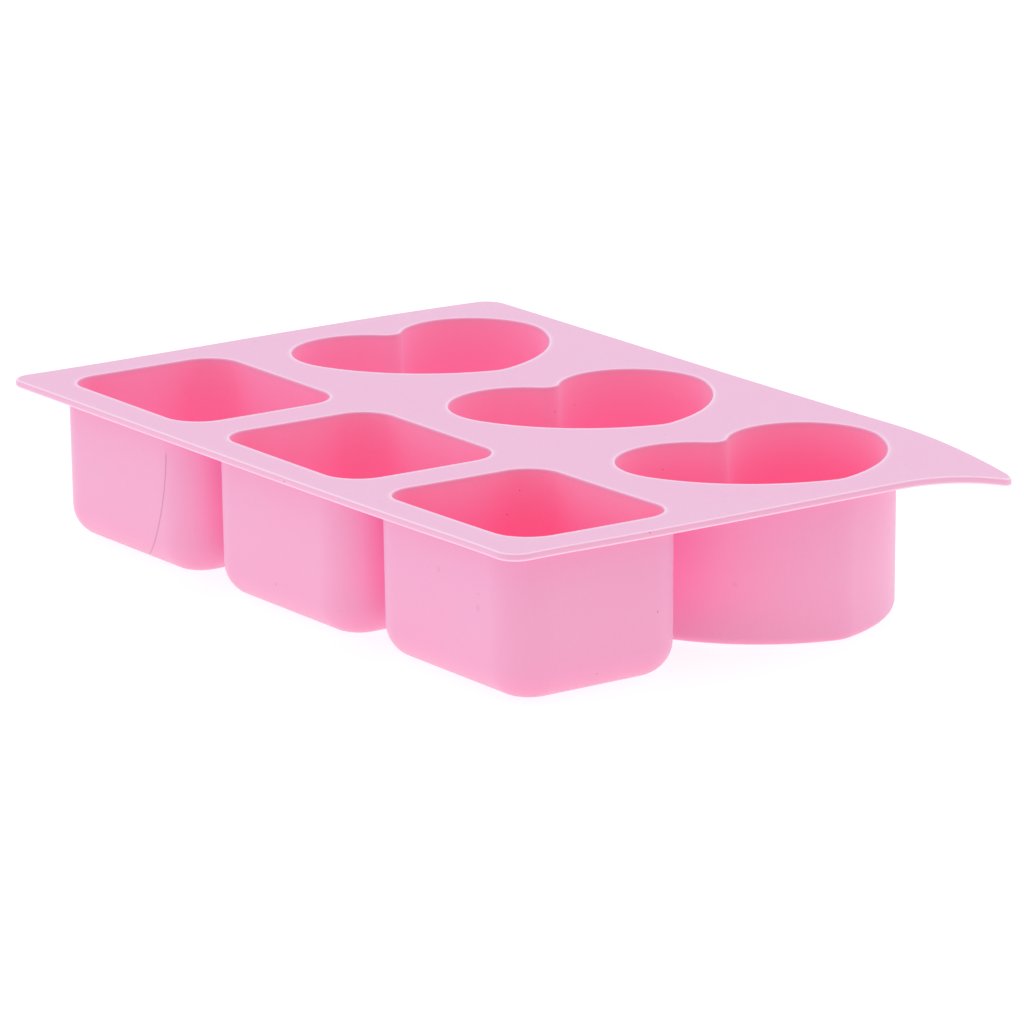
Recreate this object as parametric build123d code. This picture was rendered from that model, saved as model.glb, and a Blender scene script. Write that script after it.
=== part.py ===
from build123d import *
import math
import os

# Six-cavity silicone soap mould: a thin deck with three square and three heart cups under it.
# Origin: centre of the tray, on the plane that the cups stand on. X runs along the tray,
# the square cups are on the -Y side, the heart cups are on the +Y side, and Z is up.

# Whole tray, in millimetres
tray_length = 235.0
tray_width = 160.0
tray_height = 42.0
column_pitch = 75.0

# Deck: the thin sheet that joins the cups, with a rounded rim
deck_thickness = 2.0
deck_corner_radius = 6.0
rim_edge_radius = 0.6
lip_radius = 0.5

# Walls, shared by all six cups
wall_thickness = 2.4
floor_thickness = 2.4
draft_angle = 0.5
least_inner_radius = 0.8

# Square cavities, measured at the deck. The base radius is the one outside the cup.
square_length = 61.6
square_width = 49.2
square_corner_radius = 9.8
square_row_y = -44.7
square_base_radius = 8.8

# Heart cavities, measured at the deck. The tip points along +X, the notch along -X.
heart_length = 58.6
heart_lobe_radius = 20.0
heart_lobe_offset = 18.0
heart_side_radius = 51.0
heart_tip_radius = 9.0
heart_notch_radius = 4.5
heart_row_y = 32.0
heart_base_radius = 2.2

columns = {"left": -column_pitch, "middle": 0.0, "right": column_pitch}
deck_underside = tray_height - deck_thickness


def direction(start, end):
    """Angle in degrees of the line from start to end."""
    return math.degrees(math.atan2(end[1] - start[1], end[0] - start[0]))


def side_centre(lobe, tip):
    """Centre of the long side arc, which touches the lobe circle and the tip circle inside."""
    to_lobe = heart_side_radius - heart_lobe_radius
    to_tip = heart_side_radius - heart_tip_radius
    span = math.dist(lobe, tip)
    along = (to_lobe**2 - to_tip**2 + span**2) / (2 * span)
    across = math.sqrt(to_lobe**2 - along**2)
    heading = math.radians(direction(lobe, tip))
    x = lobe[0] + along * math.cos(heading) + across * math.sin(heading)
    y = lobe[1] + along * math.sin(heading) - across * math.cos(heading)
    return (x, y)


def square_outline(grow):
    """Rounded rectangle of a square cavity, with its sides moved outwards by grow."""
    return RectangleRounded(
        square_length + 2 * grow, square_width + 2 * grow, square_corner_radius + grow
    )


def heart_outline(grow):
    """Heart made of tangent arcs, with its sides moved outwards by grow."""
    lobe = (heart_lobe_radius - heart_length / 2, heart_lobe_offset)
    tip = (heart_length / 2 - heart_tip_radius, 0.0)
    reach = heart_lobe_radius + heart_notch_radius
    notch = (lobe[0] - math.sqrt(reach**2 - heart_lobe_offset**2), 0.0)
    side = side_centre(lobe, tip)
    notch_end = direction(notch, lobe)
    lobe_end = direction(side, lobe)
    side_end = direction(side, tip)
    half = [
        CenterArc(notch, heart_notch_radius - grow, 0, notch_end),
        CenterArc(lobe, heart_lobe_radius + grow, lobe_end, notch_end + 180 - lobe_end),
        CenterArc(side, heart_side_radius + grow, side_end, lobe_end - side_end),
        CenterArc(tip, heart_tip_radius + grow, 0, side_end),
    ]
    other_half = [mirror(arc, about=Plane.XZ) for arc in half]
    return make_face(half + other_half)


def cavity(outline, base_radius):
    """Hollow of one cup, from the deck's top face down to the floor."""
    depth = tray_height - floor_thickness
    solid = extrude(Pos(0, 0, tray_height) * outline(0), -depth, taper=draft_angle)
    inner_radius = max(base_radius - wall_thickness, least_inner_radius)
    return fillet(solid.faces().sort_by(Axis.Z)[0].edges(), inner_radius)


def cup_body(outline, base_radius):
    """Outside of one cup, from the deck's underside down to the plane it stands on."""
    solid = extrude(
        Pos(0, 0, deck_underside) * outline(wall_thickness), -deck_underside, taper=draft_angle
    )
    return fillet(solid.faces().sort_by(Axis.Z)[0].edges(), base_radius)


def make_deck(cavities):
    """Sheet with a rounded rim, opened over each cavity with a rounded lip."""
    sheet = extrude(
        Pos(0, 0, deck_underside) * RectangleRounded(tray_length, tray_width, deck_corner_radius),
        deck_thickness,
    )
    rim_edges = sheet.faces().filter_by(Axis.Z).edges()
    sheet = fillet(rim_edges, rim_edge_radius)
    sheet = sheet - cavities
    lip_edges = sheet.faces().sort_by(Axis.Z)[-1].inner_wires().edges()
    return fillet(lip_edges, lip_radius)


def save(name, solid):
    solid.label = name
    export_step(solid, f"parts/{name}.step")


def main():
    os.makedirs("parts", exist_ok=True)
    kinds = {
        "square_cup": (square_outline, square_base_radius, square_row_y),
        "heart_cup": (heart_outline, heart_base_radius, heart_row_y),
    }
    cavities = []
    for kind, (outline, base_radius, row_y) in kinds.items():
        hollow = cavity(outline, base_radius)
        body = cup_body(outline, base_radius)
        for column, column_x in columns.items():
            place = Pos(column_x, row_y, 0)
            cavities.append(place * hollow)
            save(f"{kind}_{column}", place * (body - hollow))
    save("deck", make_deck(cavities))


main()
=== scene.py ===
import math

import bmesh
import bpy
from mathutils import Euler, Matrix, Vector
from mathutils.geometry import delaunay_2d_cdt


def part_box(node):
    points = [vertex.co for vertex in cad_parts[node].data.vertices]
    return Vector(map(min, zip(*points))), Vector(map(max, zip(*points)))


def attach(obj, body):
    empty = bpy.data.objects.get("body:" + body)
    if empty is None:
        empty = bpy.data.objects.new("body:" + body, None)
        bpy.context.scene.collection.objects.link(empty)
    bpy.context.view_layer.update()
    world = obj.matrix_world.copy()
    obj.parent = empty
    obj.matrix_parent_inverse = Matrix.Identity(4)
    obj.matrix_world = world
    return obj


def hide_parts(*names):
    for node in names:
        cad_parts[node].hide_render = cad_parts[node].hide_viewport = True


# Looks of the silicone soap mould: one moulded silicone tray, shown as its deck and its six cups

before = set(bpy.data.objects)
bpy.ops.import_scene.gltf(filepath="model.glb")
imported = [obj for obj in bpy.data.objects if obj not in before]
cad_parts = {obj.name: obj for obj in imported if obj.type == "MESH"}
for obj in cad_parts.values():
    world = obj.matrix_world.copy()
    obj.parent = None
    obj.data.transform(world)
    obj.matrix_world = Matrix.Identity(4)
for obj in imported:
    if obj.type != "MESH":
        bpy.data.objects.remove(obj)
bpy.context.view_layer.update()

# The side that the camera looks from, in degrees
VIEW_AZIMUTH = 54.87
VIEW_ELEVATION = 14.94
VIEW_ROLL = -0.54

# Shape values that the CAD boxes don't give, in metres
WALL = 0.0024
FLOOR = 0.0024
DRAFT = math.tan(math.radians(0.5))
LIP_RADIUS = 0.0005
RIM_RADIUS = 0.0006
ROOT_RADIUS = 0.0010
DECK_CORNER = 0.0060
SQUARE_CORNER = 0.0098
SQUARE_BASE = 0.0088
HEART_LOBE = 0.0200
HEART_SIDE = 0.0510
HEART_TIP = 0.0090
HEART_NOTCH = 0.0045
HEART_BASE = 0.0022
LEAST_INNER_RADIUS = 0.0008

# How finely the meshes are cut. Lengths are in metres, and GRID_CLEARANCE is a share of SHEET_GRID.
ARC_STEP = math.radians(4.5)
STRAIGHT_STEP = 0.0030
WALL_RINGS = 12
FILLET_STEPS = 8
SUPPORT = 0.0004
SHEET_GRID = 0.0034
GRID_CLEARANCE = 0.6
SAME_PLACE = 1e-7
SAME_DIRECTION = 1e-4

# The soft sheet's own flex: heights in metres, per power of distance in units of 0.1 m
FLEX_UNIT = 0.1
END_BOW = 0.00045
END_SKEW = 0.00028
SIDE_TWIST = 0.00037
ROW_SWAY = -0.00125

# Two corners hang: each curls down beyond a fold line across the corner. For each corner: the side
# of X, the side of Y, the drop at its tip, and how far along and across the tray the fold line starts.
HANGING_CORNERS = [
    (1, 1, 0.0057, 0.0535, 0.0400),
    (1, -1, 0.0005, 0.0260, 0.0220),
]

# Vertex values that the material reads: the cavity share is painted shade, a deeper pink down the
# cavity walls, and the edge share is painted highlight on the lips and the rim. The fade and the width
# are in metres. CREST, SIDE and FACE are strengths from 0 to 1. REACH and MIDDLE are shares of a
# round's turn.
CAVITY_SHADE_SHARE = "cavity_shade_share"
CAVITY_SHADE_FADE = 0.0018
HIGHLIGHT_SHARE = "painted_highlight_share"
LIP_HIGHLIGHT_WIDTH = 0.0014
LIP_CREST = 0.70
LIP_SIDE = 0.12
LIP_REACH = 0.50
RIM_REACH = 0.45
RIM_UPPER_MIDDLE = 0.30
RIM_LOWER_MIDDLE = 0.35
RIM_FACE = 0.12

deck_low, deck_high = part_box("deck")
TOP = deck_high.z
UNDERSIDE = deck_low.z
HALF_LENGTH = deck_high.x
HALF_WIDTH = deck_high.y


# Outlines: lists of (point, outward direction) pairs, anticlockwise, for the cavity wall at the deck

def arc(centre, radius, start, sweep, hollow=False):
    """Points on an arc, from the start angle through the sweep, both in radians."""
    count = max(2, math.ceil(abs(sweep) / ARC_STEP))
    side = -1 if hollow else 1
    points = []
    for i in range(count + 1):
        angle = start + sweep * i / count
        ray = Vector((math.cos(angle), math.sin(angle)))
        points.append((Vector(centre) + ray * radius, ray * side))
    return points


def close_up(pieces):
    """Joins arcs into one loop: drops doubled ends and cuts long straights into short steps."""
    corners = [pair for piece in pieces for pair in piece]
    loop = []
    for i, (point, normal) in enumerate(corners):
        following, following_normal = corners[(i + 1) % len(corners)]
        gap = (following - point).length
        if gap < SAME_PLACE:
            continue
        loop.append((point, normal))
        straight = (normal - following_normal).length < SAME_DIRECTION
        steps = math.ceil(gap / STRAIGHT_STEP) if straight else 1
        loop += [(point.lerp(following, k / steps), normal) for k in range(1, steps)]
    return loop


def rounded_rectangle(half_x, half_y, radius):
    quarter = math.pi / 2
    inner_x = half_x - radius
    inner_y = half_y - radius
    corners = [(inner_x, inner_y), (-inner_x, inner_y), (-inner_x, -inner_y), (inner_x, -inner_y)]
    return close_up([arc(corner, radius, quarter * i, quarter) for i, corner in enumerate(corners)])


def heading(start, end):
    return math.atan2(end[1] - start[1], end[0] - start[0])


def heart(length, width):
    """Heart of tangent arcs, tip along +X and notch along -X."""
    lobe = Vector((HEART_LOBE - length / 2, width / 2 - HEART_LOBE))
    tip = Vector((length / 2 - HEART_TIP, 0.0))
    notch = Vector((lobe.x - math.sqrt((HEART_LOBE + HEART_NOTCH) ** 2 - lobe.y ** 2), 0.0))
    to_lobe = HEART_SIDE - HEART_LOBE
    to_tip = HEART_SIDE - HEART_TIP
    span = (tip - lobe).length
    along = (to_lobe ** 2 - to_tip ** 2 + span ** 2) / (2 * span)
    across = math.sqrt(to_lobe ** 2 - along ** 2)
    ahead = (tip - lobe).normalized()
    side = lobe + ahead * along + Vector((ahead.y, -ahead.x)) * across
    notch_end = heading(notch, lobe)
    lobe_end = heading(side, lobe)
    side_end = heading(side, tip)
    upper = [
        arc(tip, HEART_TIP, 0.0, side_end),
        arc(side, HEART_SIDE, side_end, lobe_end - side_end),
        arc(lobe, HEART_LOBE, lobe_end, notch_end + math.pi - lobe_end),
        arc(notch, HEART_NOTCH, notch_end, -notch_end, hollow=True),
    ]
    flip = Vector((1.0, -1.0))
    lower = [
        [(point * flip, normal * flip) for point, normal in reversed(piece)]
        for piece in reversed(upper)
    ]
    return close_up(upper + lower)


def moved(outline, centre):
    return [(point + centre, normal) for point, normal in outline]


def grown(outline, distance):
    return [point + normal * distance for point, normal in outline]


# The sheet's flex

def flex(x, y):
    """How far the sheet stands above or below its flat height at (x, y)."""
    u = x / FLEX_UNIT
    v = y / FLEX_UNIT
    lift = END_BOW * u ** 2 + END_SKEW * u ** 3 + SIDE_TWIST * u * v ** 2 + ROW_SWAY * v ** 3
    for side_x, side_y, drop, along, across in HANGING_CORNERS:
        beyond = (side_x * x - HALF_LENGTH) / along + (side_y * y - HALF_WIDTH) / across + 1.0
        lift -= drop * max(0.0, beyond) ** 2
    return lift


# Mesh building

def fillet_profile(centre, radius, start, end):
    """Points (offset, height) on a round, from the start angle to the end angle in degrees."""
    points = []
    for i in range(FILLET_STEPS + 1):
        angle = math.radians(start + (end - start) * i / FILLET_STEPS)
        points.append((centre[0] + radius * math.cos(angle), centre[1] + radius * math.sin(angle)))
    return points


def between(first, last, count):
    """Points strictly between two profile points."""
    return [
        (first[0] + (last[0] - first[0]) * i / count, first[1] + (last[1] - first[1]) * i / count)
        for i in range(1, count)
    ]


def ring(bm, outline, offset, height, cavity_shade=0.0, edge=0.0):
    """One ring of vertices, each carrying the two shares that the material reads: painted cavity shade
    and painted edge highlight.
    """
    cavity_shade_layer = bm.verts.layers.float.get(CAVITY_SHADE_SHARE) or bm.verts.layers.float.new(CAVITY_SHADE_SHARE)
    highlight_layer = bm.verts.layers.float.get(HIGHLIGHT_SHARE) or bm.verts.layers.float.new(HIGHLIGHT_SHARE)
    verts = []
    for point in grown(outline, offset):
        vert = bm.verts.new((point.x, point.y, height))
        vert[cavity_shade_layer] = cavity_shade
        vert[highlight_layer] = edge
        verts.append(vert)
    return verts


def cavity_shade_share(height):
    """How much painted shade, as the cavity's deeper pink, its wall has at this height."""
    return min(1.0, (TOP - height) / CAVITY_SHADE_FADE)


def bridge(bm, first, second):
    """Quads between two rings of the same length."""
    count = len(first)
    for i in range(count):
        j = (i + 1) % count
        bm.faces.new((first[i], first[j], second[j], second[i]))


def finish_mesh(bm, name, sharp_rings):
    mesh = bpy.data.meshes.new(name)
    bmesh.ops.recalc_face_normals(bm, faces=bm.faces)
    for face in bm.faces:
        face.smooth = True
    for loop in sharp_rings:
        for i, vert in enumerate(loop):
            edge = bm.edges.get((vert, loop[(i + 1) % len(loop)]))
            edge.smooth = False
    bm.to_mesh(mesh)
    bm.free()
    piece = bpy.data.objects.new(name, mesh)
    bpy.context.scene.collection.objects.link(piece)
    return piece


def cup_profile(base_radius):
    """Section of a cup as (offset, height), from the middle of its base to the middle of its floor."""
    inner_radius = max(base_radius - WALL, LEAST_INNER_RADIUS)
    foot = WALL - DRAFT * (UNDERSIDE - base_radius)
    outside = [(foot - base_radius - SUPPORT, 0.0)]
    outside += fillet_profile((foot - base_radius, base_radius), base_radius, -90, 0)
    root_start = (WALL, UNDERSIDE - ROOT_RADIUS)
    outside += between(outside[-1], root_start, WALL_RINGS)
    outside += fillet_profile((WALL + ROOT_RADIUS, UNDERSIDE - ROOT_RADIUS), ROOT_RADIUS, 180, 90)
    top = (-DRAFT * (TOP - UNDERSIDE), UNDERSIDE)
    inner_foot = -DRAFT * (TOP - FLOOR - inner_radius)
    floor_round = fillet_profile(
        (inner_foot - inner_radius, FLOOR + inner_radius), inner_radius, 0, -90
    )
    inside = [top] + between(top, floor_round[0], WALL_RINGS) + floor_round
    inside += [(inner_foot - inner_radius - SUPPORT, FLOOR)]
    return outside, inside


def make_cup(node, outline, base_radius):
    low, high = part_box(node)
    centre = Vector(((low.x + high.x) / 2, (low.y + high.y) / 2))
    placed = moved(outline, centre)
    outside, inside = cup_profile(base_radius)
    bm = bmesh.new()
    rings = [ring(bm, placed, offset, height) for offset, height in outside]
    rings += [ring(bm, placed, offset, height, cavity_shade_share(height)) for offset, height in inside]
    for first, second in zip(rings, rings[1:]):
        bridge(bm, first, second)
    bm.faces.new(list(reversed(rings[0])))
    bm.faces.new(rings[-1])
    own_lift = flex(centre.x, centre.y)
    for vert in bm.verts:
        share = vert.co.z / UNDERSIDE
        vert.co.z += own_lift + (flex(vert.co.x, vert.co.y) - own_lift) * share
    seam = [rings[len(outside) - 1], rings[len(outside)]]
    return finish_mesh(bm, "visual_" + node, seam)


def inside_loop(point, loop):
    x, y = point
    hit = False
    for i, a in enumerate(loop):
        b = loop[i - 1]
        if (a.y > y) != (b.y > y) and x < (b.x - a.x) * (y - a.y) / (b.y - a.y) + a.x:
            hit = not hit
    return hit


def distance_to(point, loop):
    return min((point - other).length for other in loop)


def sheet_grid(border, holes):
    """Points spread over the sheet in staggered rows, clear of the border and the holes."""
    points = []
    rows = int(2 * HALF_WIDTH / SHEET_GRID)
    columns = int(2 * HALF_LENGTH / SHEET_GRID)
    clear = SHEET_GRID * GRID_CLEARANCE
    for row in range(rows + 1):
        for column in range(columns + 1):
            shift = 0.5 * (row % 2)
            point = Vector((
                -HALF_LENGTH + (column + shift) * SHEET_GRID,
                -HALF_WIDTH + row * SHEET_GRID,
            ))
            if not inside_loop(point, border) or distance_to(point, border) < clear:
                continue
            if any(inside_loop(point, hole) or distance_to(point, hole) < clear for hole in holes):
                continue
            points.append(point)
    return points


def fill_sheet(bm, border_ring, hole_rings, upwards):
    """Triangles between the border ring and the hole rings, on the ring's own height."""
    loops = [border_ring] + hole_rings
    flat = [[Vector((vert.co.x, vert.co.y)) for vert in loop] for loop in loops]
    extra = sheet_grid(flat[0], flat[1:])
    height = border_ring[0].co.z
    verts = [vert for loop in loops for vert in loop]
    edges = []
    start = 0
    for loop in loops:
        count = len(loop)
        edges += [(start + i, start + (i + 1) % count) for i in range(count)]
        start += count
    coords = [point for loop in flat for point in loop] + extra
    verts += [bm.verts.new((point.x, point.y, height)) for point in extra]
    # Output type 1 keeps the triangles inside the border. Result 2 is the triangles, and result 3 is
    # the input points that each output point came from.
    result = delaunay_2d_cdt(coords, edges, [], 1, SAME_PLACE)
    for triangle in result[2]:
        corners = [verts[result[3][i][0]] for i in triangle]
        middle = sum((Vector((v.co.x, v.co.y)) for v in corners), Vector((0.0, 0.0))) / 3
        if any(inside_loop(middle, hole) for hole in flat[1:]):
            continue
        bm.faces.new(corners if upwards else list(reversed(corners)))


def crest(middle, reach):
    """Painted highlight shares across a round: 1 at the middle, and 0 at the reach from it and beyond.
    """
    return [max(0.0, 1.0 - abs(i / FILLET_STEPS - middle) / reach) for i in range(FILLET_STEPS + 1)]


def painted_highlight_side(bm, opening, verts):
    """Widens the painted highlight where a lip faces the viewer's side, from LIP_SIDE up to LIP_CREST.
    """
    azimuth = math.radians(VIEW_AZIMUTH)
    towards = Vector((math.sin(azimuth), -math.cos(azimuth)))
    layer = bm.verts.layers.float[HIGHLIGHT_SHARE]
    for vert, (point, normal) in zip(verts, opening):
        vert[layer] = LIP_SIDE + (LIP_CREST - LIP_SIDE) * max(0.0, normal.dot(towards))


def make_deck(openings):
    """The sheet, from its rounded rim to the rounded lip of each opening."""
    outline = rounded_rectangle(HALF_LENGTH, HALF_WIDTH, DECK_CORNER)
    middle = (TOP + UNDERSIDE) / 2
    upper_edge = fillet_profile((-RIM_RADIUS, TOP - RIM_RADIUS), RIM_RADIUS, 90, 0)
    lower_edge = fillet_profile((-RIM_RADIUS, UNDERSIDE + RIM_RADIUS), RIM_RADIUS, 0, -90)
    rim = [(-RIM_RADIUS - SUPPORT, TOP)] + upper_edge + [(0.0, middle)] + lower_edge
    rim += [(-RIM_RADIUS - SUPPORT, UNDERSIDE)]
    # Painted highlights along the rim's upper and lower rounds, and a lighter painted rim face between
    # them
    rounds = crest(RIM_UPPER_MIDDLE, RIM_REACH) + [RIM_FACE] + crest(RIM_LOWER_MIDDLE, RIM_REACH)
    rim_highlights = [0.0] + [max(RIM_FACE, share) for share in rounds] + [0.0]
    lip_round = fillet_profile((LIP_RADIUS, TOP - LIP_RADIUS), LIP_RADIUS, 90, 180)
    lip = [(LIP_RADIUS + LIP_HIGHLIGHT_WIDTH, TOP), (LIP_RADIUS + SUPPORT, TOP)] + lip_round
    lip += [(-DRAFT * (TOP - UNDERSIDE), UNDERSIDE)]
    # Painted highlight on the lip's round and on a thin band of the top beside it
    lip_highlights = [0.0, LIP_SIDE] + [LIP_CREST * share for share in crest(0.0, LIP_REACH)] + [0.0]
    bm = bmesh.new()
    border = [ring(bm, outline, *point, edge=share) for point, share in zip(rim, rim_highlights)]
    for first, second in zip(border, border[1:]):
        bridge(bm, second, first)
    tops = []
    bottoms = []
    for opening in openings:
        rings = [
            ring(bm, opening, *point, cavity_shade_share(point[1]), share)
            for point, share in zip(lip, lip_highlights)
        ]
        for first, second in zip(rings, rings[1:]):
            bridge(bm, first, second)
        painted_highlight_side(bm, opening, rings[1])
        tops.append(rings[0])
        bottoms.append(rings[-1])
    fill_sheet(bm, border[0], tops, True)
    fill_sheet(bm, border[-1], bottoms, False)
    for vert in bm.verts:
        vert.co.z += flex(vert.co.x, vert.co.y)
    return finish_mesh(bm, "visual_deck", bottoms)


# Material

class Nodes:
    """Short ways to add and join shader nodes in one tree."""

    def __init__(self, tree):
        self.tree = tree

    def add(self, kind, **settings):
        node = self.tree.nodes.new(kind)
        for name, value in settings.items():
            setattr(node, name, value)
        return node

    def put(self, socket, value):
        """Sets a socket to a plain value, or joins another node's output to it."""
        if isinstance(value, bpy.types.NodeSocket):
            self.tree.links.new(value, socket)
        else:
            socket.default_value = value

    def maths(self, operation, *values):
        """One step of arithmetic, such as ADD, MULTIPLY or POWER."""
        node = self.add("ShaderNodeMath", operation=operation)
        for socket, value in zip(node.inputs, values):
            self.put(socket, value)
        return node.outputs[0]

    def ramp(self, value, low, high, out_low=0.0, out_high=1.0):
        """Maps low..high to out_low..out_high with soft ends, and holds beyond them."""
        node = self.add("ShaderNodeMapRange", interpolation_type="SMOOTHSTEP")
        for socket, item in zip(node.inputs, (value, low, high, out_low, out_high)):
            self.put(socket, item)
        return node.outputs[0]

    def mix(self, share, first, second):
        """Mixes two colours. A mix node's sockets 6 and 7 take its colours, and output 2 gives one."""
        node = self.add("ShaderNodeMix", data_type="RGBA")
        self.put(node.inputs["Factor"], share)
        self.put(node.inputs[6], first)
        self.put(node.inputs[7], second)
        return node.outputs[2]

    def noise(self, place, size, detail):
        """Smooth noise from 0 to 1 whose blotches are about size metres across."""
        node = self.add("ShaderNodeTexNoise")
        self.put(node.inputs["Vector"], place)
        self.put(node.inputs["Scale"], 1.0 / size)
        self.put(node.inputs["Detail"], detail)
        return node.outputs["Fac"]

    def vertex_value(self, name):
        return self.add("ShaderNodeAttribute", attribute_name=name).outputs["Fac"]


# Colours, as linear red, green and blue
OPEN_PINK = (0.850, 0.412, 0.640, 1.0)
SHALLOW_SHADE_PINK = (0.995, 0.420, 0.670, 1.0)
DEEP_SHADE_AND_BLOTCH_PINK = (0.995, 0.285, 0.535, 1.0)
RECESS_SHADE_PINK = (1.000, 0.120, 0.300, 1.0)
HIGHLIGHT_PINK = (1.000, 0.760, 0.910, 1.0)
GLOW_PINK = (1.000, 0.120, 0.330, 1.0)
SHEEN_LILAC = (0.78, 0.86, 1.00, 1.0)
SPECK_BROWN = (0.330, 0.120, 0.200, 1.0)
SMUDGE_MAUVE = (0.620, 0.320, 0.480, 1.0)

# Where walls stand close together, a painted glow and a painted shade of deeper pink stand in for
# light through the rubber and for shade in gaps and corners.
# REACH and FLOOR are in metres. The glow fades out between GLOW_FLOOR and the ground.
GLOW_STRENGTH = 0.40
GLOW_REACH = 0.040
GLOW_POWER = 2.0
GAP_SHADE_SHARE = 0.38
GLOW_FLOOR = 0.020
CORNER_SHADE_REACH = 0.020
CORNER_SHADE_FULL = 0.65
SHADE_SAMPLES = 4

# Painted shade: inside the cavities the pink runs deeper towards +X and towards the floor
SHALLOW_SHARE = 0.15
SHALLOW_DEPTH = 0.016
SHALLOW_X = -0.080
FULL_X = 0.060

# Surface detail: sizes in metres
BLOTCH_SIZE = 0.030
SATIN_SIZE = 0.0009
GRAIN_SIZE = 0.00022
SPECK_SPACING = 0.0085
SPECK_RADIUS = 0.00028
SMUDGE_SPACING = 0.0170
SMUDGE_RADIUS = 0.0011
BUMP_DEPTH = 0.0001

# Surface detail: shares, and the range of noise values that each one works over
BLOTCH_SHARE = 0.10
BLOTCH_RANGE = (0.35, 0.75)
SATIN_SHARE = 0.06
SATIN_RANGE = (0.30, 0.70)
SMUDGE_SHARE = 0.35
SPECK_SHARE = 0.75
SPOT_CORE = 0.5
GRAIN_SHARE = 0.4
BUMP_STRENGTH = 0.10
FINE_DETAIL = 3.0
PLAIN_DETAIL = 1.0

# How silicone shines
SATIN_ROUGHNESS = (0.36, 0.46)
SILICONE_IOR = 1.41
SHEEN_WEIGHT = 0.30
SHEEN_ROUGHNESS = 0.45

# The thin curved flow mark on the left square cup's -Y side: an arc about a centre given along X and
# Z, in metres. SLANT is how far it runs along X for each metre inwards.
MARK_CENTRE = (-0.1173, 0.0369)
MARK_RADIUS = 0.0659
MARK_HALF_WIDTH = 0.00045
MARK_CORE = 0.4
MARK_FACE_Y = -0.0716
MARK_REACH = 0.0060
MARK_SLANT = 1.5
MARK_LOW = 0.0005
MARK_LOW_FADE = 0.0020
MARK_HIGH = 0.0350
MARK_HIGH_FADE = 0.0030
MARK_SHARE = 0.40


def spots(nodes, place, spacing, radius, share):
    """Shares for small round spots, strewn about one per cell of the spacing through the solid."""
    cells = nodes.add("ShaderNodeTexVoronoi")
    nodes.put(cells.inputs["Vector"], place)
    nodes.put(cells.inputs["Scale"], 1.0 / spacing)
    size = radius / spacing
    return nodes.ramp(cells.outputs["Distance"], size * SPOT_CORE, size, share, 0.0)


def flow_mark(nodes, x, y, z, cavity_shade):
    """Share of the thin arc on the outer -Y face. It slants on towards -X where the base turns in."""
    inwards = nodes.maths("SUBTRACT", y, MARK_FACE_Y)
    plane = nodes.add("ShaderNodeCombineXYZ")
    nodes.put(plane.inputs["X"], nodes.maths("ADD", x, nodes.maths("MULTIPLY", inwards, MARK_SLANT)))
    nodes.put(plane.inputs["Y"], z)
    reach = nodes.add("ShaderNodeVectorMath", operation="DISTANCE")
    nodes.put(reach.inputs[0], plane.outputs[0])
    nodes.put(reach.inputs[1], (*MARK_CENTRE, 0.0))
    off = nodes.maths("ABSOLUTE", nodes.maths("SUBTRACT", reach.outputs["Value"], MARK_RADIUS))
    line = nodes.ramp(off, MARK_HALF_WIDTH * MARK_CORE, MARK_HALF_WIDTH, MARK_SHARE, 0.0)
    above = nodes.ramp(z, MARK_LOW, MARK_LOW + MARK_LOW_FADE)
    below = nodes.ramp(z, MARK_HIGH - MARK_HIGH_FADE, MARK_HIGH, 1.0, 0.0)
    front = nodes.maths("LESS_THAN", inwards, MARK_REACH)
    outer = nodes.maths("MAXIMUM", nodes.maths("SUBTRACT", front, cavity_shade), 0.0)
    share = nodes.maths("MULTIPLY", nodes.maths("MULTIPLY", above, below), outer)
    return nodes.maths("MULTIPLY", line, share)


def hidden_share(nodes, reach):
    """How much of the view out from a point is blocked within reach, from 0 to 1."""
    shade = nodes.add("ShaderNodeAmbientOcclusion", samples=SHADE_SAMPLES)
    nodes.put(shade.inputs["Distance"], reach)
    return nodes.maths("SUBTRACT", 1.0, shade.outputs["AO"])


def colours_with_cavity_shade(nodes, x, z):
    """The silicone's colour outside, and inside the cavities with the painted cavity shade, before any
    detail.
    """
    deep_shade = nodes.maths(
        "MULTIPLY",
        nodes.ramp(x, SHALLOW_X, FULL_X, SHALLOW_SHARE),
        nodes.ramp(z, TOP - SHALLOW_DEPTH, TOP, 1.0, 0.0),
    )
    return OPEN_PINK, nodes.mix(deep_shade, SHALLOW_SHADE_PINK, DEEP_SHADE_AND_BLOTCH_PINK)


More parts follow.
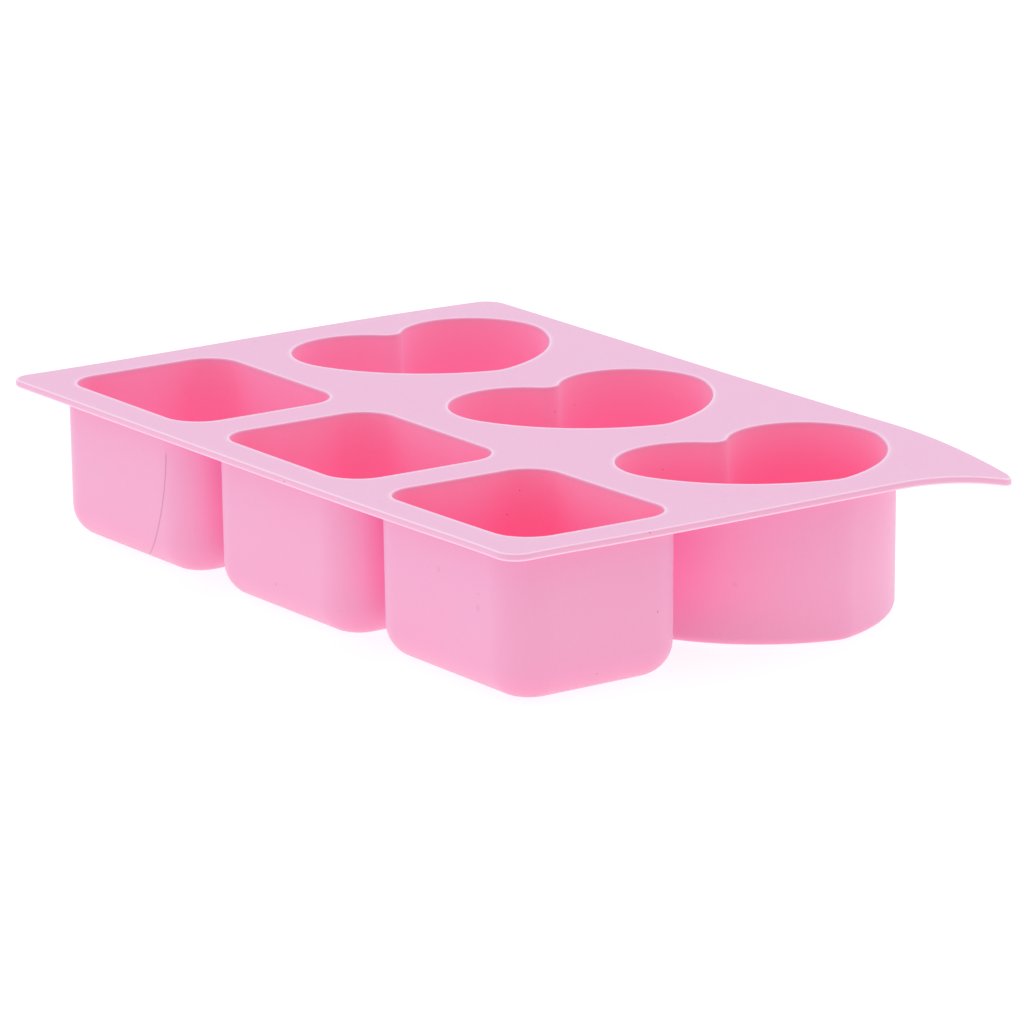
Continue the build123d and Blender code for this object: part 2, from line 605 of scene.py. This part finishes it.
def silicone_material():
    """Full detail, with painted shade, glow and highlights, where the camera looks, and the colours
    with the painted cavity shade for the light that bounces about.
    """
    material = bpy.data.materials.new("silicone")
    material.use_nodes = True
    nodes = Nodes(material.node_tree)
    shader = material.node_tree.nodes["Principled BSDF"]
    place = nodes.add("ShaderNodeNewGeometry").outputs["Position"]
    split = nodes.add("ShaderNodeSeparateXYZ")
    nodes.put(split.inputs[0], place)
    x, y, z = split.outputs
    cavity_shade = nodes.vertex_value(CAVITY_SHADE_SHARE)
    outside, inside = colours_with_cavity_shade(nodes, x, z)

    satin = nodes.noise(place, SATIN_SIZE, FINE_DETAIL)
    grain = nodes.noise(place, GRAIN_SIZE, PLAIN_DETAIL)
    blotch = nodes.noise(place, BLOTCH_SIZE, FINE_DETAIL)
    corner = nodes.ramp(hidden_share(nodes, CORNER_SHADE_REACH), 0.0, CORNER_SHADE_FULL)
    hidden = nodes.maths("POWER", hidden_share(nodes, GLOW_REACH), GLOW_POWER)

    # Painted shade: a deeper pink where outer walls stand close together
    colour = nodes.mix(nodes.maths("MULTIPLY", hidden, GAP_SHADE_SHARE), outside, RECESS_SHADE_PINK)
    # Painted shade: the cavity walls take the deeper pink
    colour = nodes.mix(cavity_shade, colour, inside)
    # Painted shade: a deeper pink in the cavities' corners
    colour = nodes.mix(nodes.maths("MULTIPLY", corner, cavity_shade), colour, RECESS_SHADE_PINK)
    blotches = nodes.ramp(blotch, *BLOTCH_RANGE, 0.0, BLOTCH_SHARE)
    colour = nodes.mix(blotches, colour, DEEP_SHADE_AND_BLOTCH_PINK)
    mottle = nodes.ramp(satin, *SATIN_RANGE, SATIN_SHARE, 0.0)
    colour = nodes.mix(mottle, colour, SMUDGE_MAUVE)
    # Painted highlight on the lips and the rim
    colour = nodes.mix(nodes.vertex_value(HIGHLIGHT_SHARE), colour, HIGHLIGHT_PINK)
    smudges = spots(nodes, place, SMUDGE_SPACING, SMUDGE_RADIUS, SMUDGE_SHARE)
    colour = nodes.mix(smudges, colour, SMUDGE_MAUVE)
    specks = spots(nodes, place, SPECK_SPACING, SPECK_RADIUS, SPECK_SHARE)
    colour = nodes.mix(specks, colour, SPECK_BROWN)
    colour = nodes.mix(flow_mark(nodes, x, y, z, cavity_shade), colour, SPECK_BROWN)
    nodes.put(shader.inputs["Base Color"], colour)

    nodes.put(shader.inputs["Roughness"], nodes.ramp(satin, *SATIN_RANGE, *SATIN_ROUGHNESS))
    nodes.put(shader.inputs["IOR"], SILICONE_IOR)
    nodes.put(shader.inputs["Sheen Weight"], SHEEN_WEIGHT)
    nodes.put(shader.inputs["Sheen Roughness"], SHEEN_ROUGHNESS)
    nodes.put(shader.inputs["Sheen Tint"], SHEEN_LILAC)

    bump = nodes.add("ShaderNodeBump")
    nodes.put(bump.inputs["Strength"], BUMP_STRENGTH)
    nodes.put(bump.inputs["Distance"], BUMP_DEPTH)
    fine_grain = nodes.maths("MULTIPLY", grain, GRAIN_SHARE)
    nodes.put(bump.inputs["Height"], nodes.maths("ADD", satin, fine_grain))
    nodes.put(shader.inputs["Normal"], bump.outputs["Normal"])

    # Painted glow: the silicone emits pink where walls stand close together, for light through the
    # rubber
    clear_of_floor = nodes.ramp(z, 0.0, GLOW_FLOOR)
    glow = nodes.maths("MULTIPLY", nodes.maths("MULTIPLY", hidden, GLOW_STRENGTH), clear_of_floor)
    nodes.put(shader.inputs["Emission Color"], GLOW_PINK)
    nodes.put(shader.inputs["Emission Strength"], glow)

    bounce = nodes.add("ShaderNodeBsdfDiffuse")
    # The bounced light also carries the painted cavity shade
    nodes.put(bounce.inputs["Color"], nodes.mix(cavity_shade, outside, inside))
    surface = nodes.add("ShaderNodeMixShader")
    # MINIMUM with 1 leaves the value as it is. Joined directly, the export reads this as unlit.
    seen = nodes.add("ShaderNodeLightPath").outputs["Is Camera Ray"]
    nodes.put(surface.inputs[0], nodes.maths("MINIMUM", seen, 1.0))
    nodes.put(surface.inputs[1], bounce.outputs[0])
    nodes.put(surface.inputs[2], shader.outputs[0])
    nodes.put(material.node_tree.nodes["Material Output"].inputs["Surface"], surface.outputs[0])
    return material


# Pieces

silicone = silicone_material()
inner_openings = []
pieces = []
for node in sorted(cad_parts):
    if node == "deck":
        continue
    low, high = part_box(node)
    size = high - low
    if node.startswith("square"):
        outline = rounded_rectangle(size.x / 2 - WALL, size.y / 2 - WALL, SQUARE_CORNER)
        base_radius = SQUARE_BASE
    else:
        outline = heart(size.x - 2 * WALL, size.y - 2 * WALL)
        base_radius = HEART_BASE
    centre = Vector(((low.x + high.x) / 2, (low.y + high.y) / 2))
    inner_openings.append(moved(outline, centre))
    pieces.append((make_cup(node, outline, base_radius), node))
pieces.append((make_deck(inner_openings), "deck"))

for piece, node in pieces:
    piece.data.materials.append(silicone)
    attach(piece, "root")
    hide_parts(node)


# Stage, light and camera

FLOOR_SIZE = 24.0
FLOOR_DROP = 0.0004
FLOOR_ROUGHNESS = 0.9
FLOOR_GREY = (0.30, 0.30, 0.30, 1.0)
FLOOR_GLOW = 0.84
HORIZON_LIGHT = 1.10
FRONT_DIP = 0.40
LIGHT_BOUNCES = 12
TENT_WHITE = (1.0, 0.985, 0.98, 1.0)
TENT_WARM = (1.0, 0.42, 0.34, 1.0)
TENT_COOL = (0.98, 1.075, 1.09, 1.0)
WARM_AZIMUTH = 65.0
FLOOR_WHITE = (1.0, 0.96, 0.96, 1.0)


def make_floor():
    bpy.ops.mesh.primitive_plane_add(size=FLOOR_SIZE, location=(0.0, 0.0, -FLOOR_DROP))
    floor = bpy.context.object
    floor.name = "studio_floor"
    material = bpy.data.materials.new("studio_floor")
    material.use_nodes = True
    shader = material.node_tree.nodes["Principled BSDF"]
    shader.inputs["Base Color"].default_value = FLOOR_GREY
    shader.inputs["Roughness"].default_value = FLOOR_ROUGHNESS
    shader.inputs["Emission Color"].default_value = FLOOR_WHITE
    shader.inputs["Emission Strength"].default_value = FLOOR_GLOW
    floor.data.materials.append(material)


def make_light():
    """A white tent all around: cooler overhead, and warmer and dimmer towards the camera."""
    world = bpy.data.worlds.new("studio")
    world.use_nodes = True
    nodes = Nodes(world.node_tree)
    ray = nodes.add("ShaderNodeTexCoord").outputs["Generated"]
    azimuth = math.radians(WARM_AZIMUTH)
    towards = nodes.add("ShaderNodeVectorMath", operation="DOT_PRODUCT")
    nodes.put(towards.inputs[0], ray)
    nodes.put(towards.inputs[1], (math.sin(azimuth), -math.cos(azimuth), 0.0))
    front = nodes.maths("MAXIMUM", towards.outputs["Value"], 0.0)
    height = nodes.add("ShaderNodeSeparateXYZ")
    nodes.put(height.inputs[0], ray)
    up = nodes.maths("MAXIMUM", height.outputs["Z"], 0.0)
    background = world.node_tree.nodes["Background"]
    colour = nodes.mix(up, nodes.mix(front, TENT_WHITE, TENT_WARM), TENT_COOL)
    nodes.put(background.inputs["Color"], colour)
    strength = nodes.maths("SUBTRACT", HORIZON_LIGHT, nodes.maths("MULTIPLY", front, FRONT_DIP))
    nodes.put(background.inputs["Strength"], strength)
    scene = bpy.context.scene
    scene.world = world
    scene.view_settings.view_transform = "Standard"
    scene.cycles.max_bounces = LIGHT_BOUNCES
    scene.cycles.diffuse_bounces = LIGHT_BOUNCES


# Camera: distances in metres, lens and sensor in millimetres, and the point that it aims at as
# shares of the deck's half length and half width
VIEW_DISTANCE = 1.7159
VIEW_END = 50.0
LENS = 241.8
SENSOR = 36.0
AIM_ALONG = 0.668
AIM_ACROSS = -0.649


def make_camera():
    azimuth = math.radians(VIEW_AZIMUTH)
    elevation = math.radians(VIEW_ELEVATION)
    back = Vector((
        math.sin(azimuth) * math.cos(elevation),
        -math.cos(azimuth) * math.cos(elevation),
        math.sin(elevation),
    ))
    data = bpy.data.cameras.new("camera")
    data.lens = LENS
    data.sensor_width = SENSOR
    data.clip_end = VIEW_END
    camera = bpy.data.objects.new("camera", data)
    turn = back.to_track_quat("Z", "Y").to_matrix().to_4x4()
    roll = Euler((0.0, 0.0, math.radians(VIEW_ROLL))).to_matrix().to_4x4()
    camera.matrix_world = turn @ roll
    aim = Vector((AIM_ALONG * HALF_LENGTH, AIM_ACROSS * HALF_WIDTH, TOP))
    camera.location = aim + back * VIEW_DISTANCE
    bpy.context.scene.collection.objects.link(camera)
    bpy.context.scene.camera = camera


make_floor()
make_light()
make_camera()

bpy.context.view_layer.update()
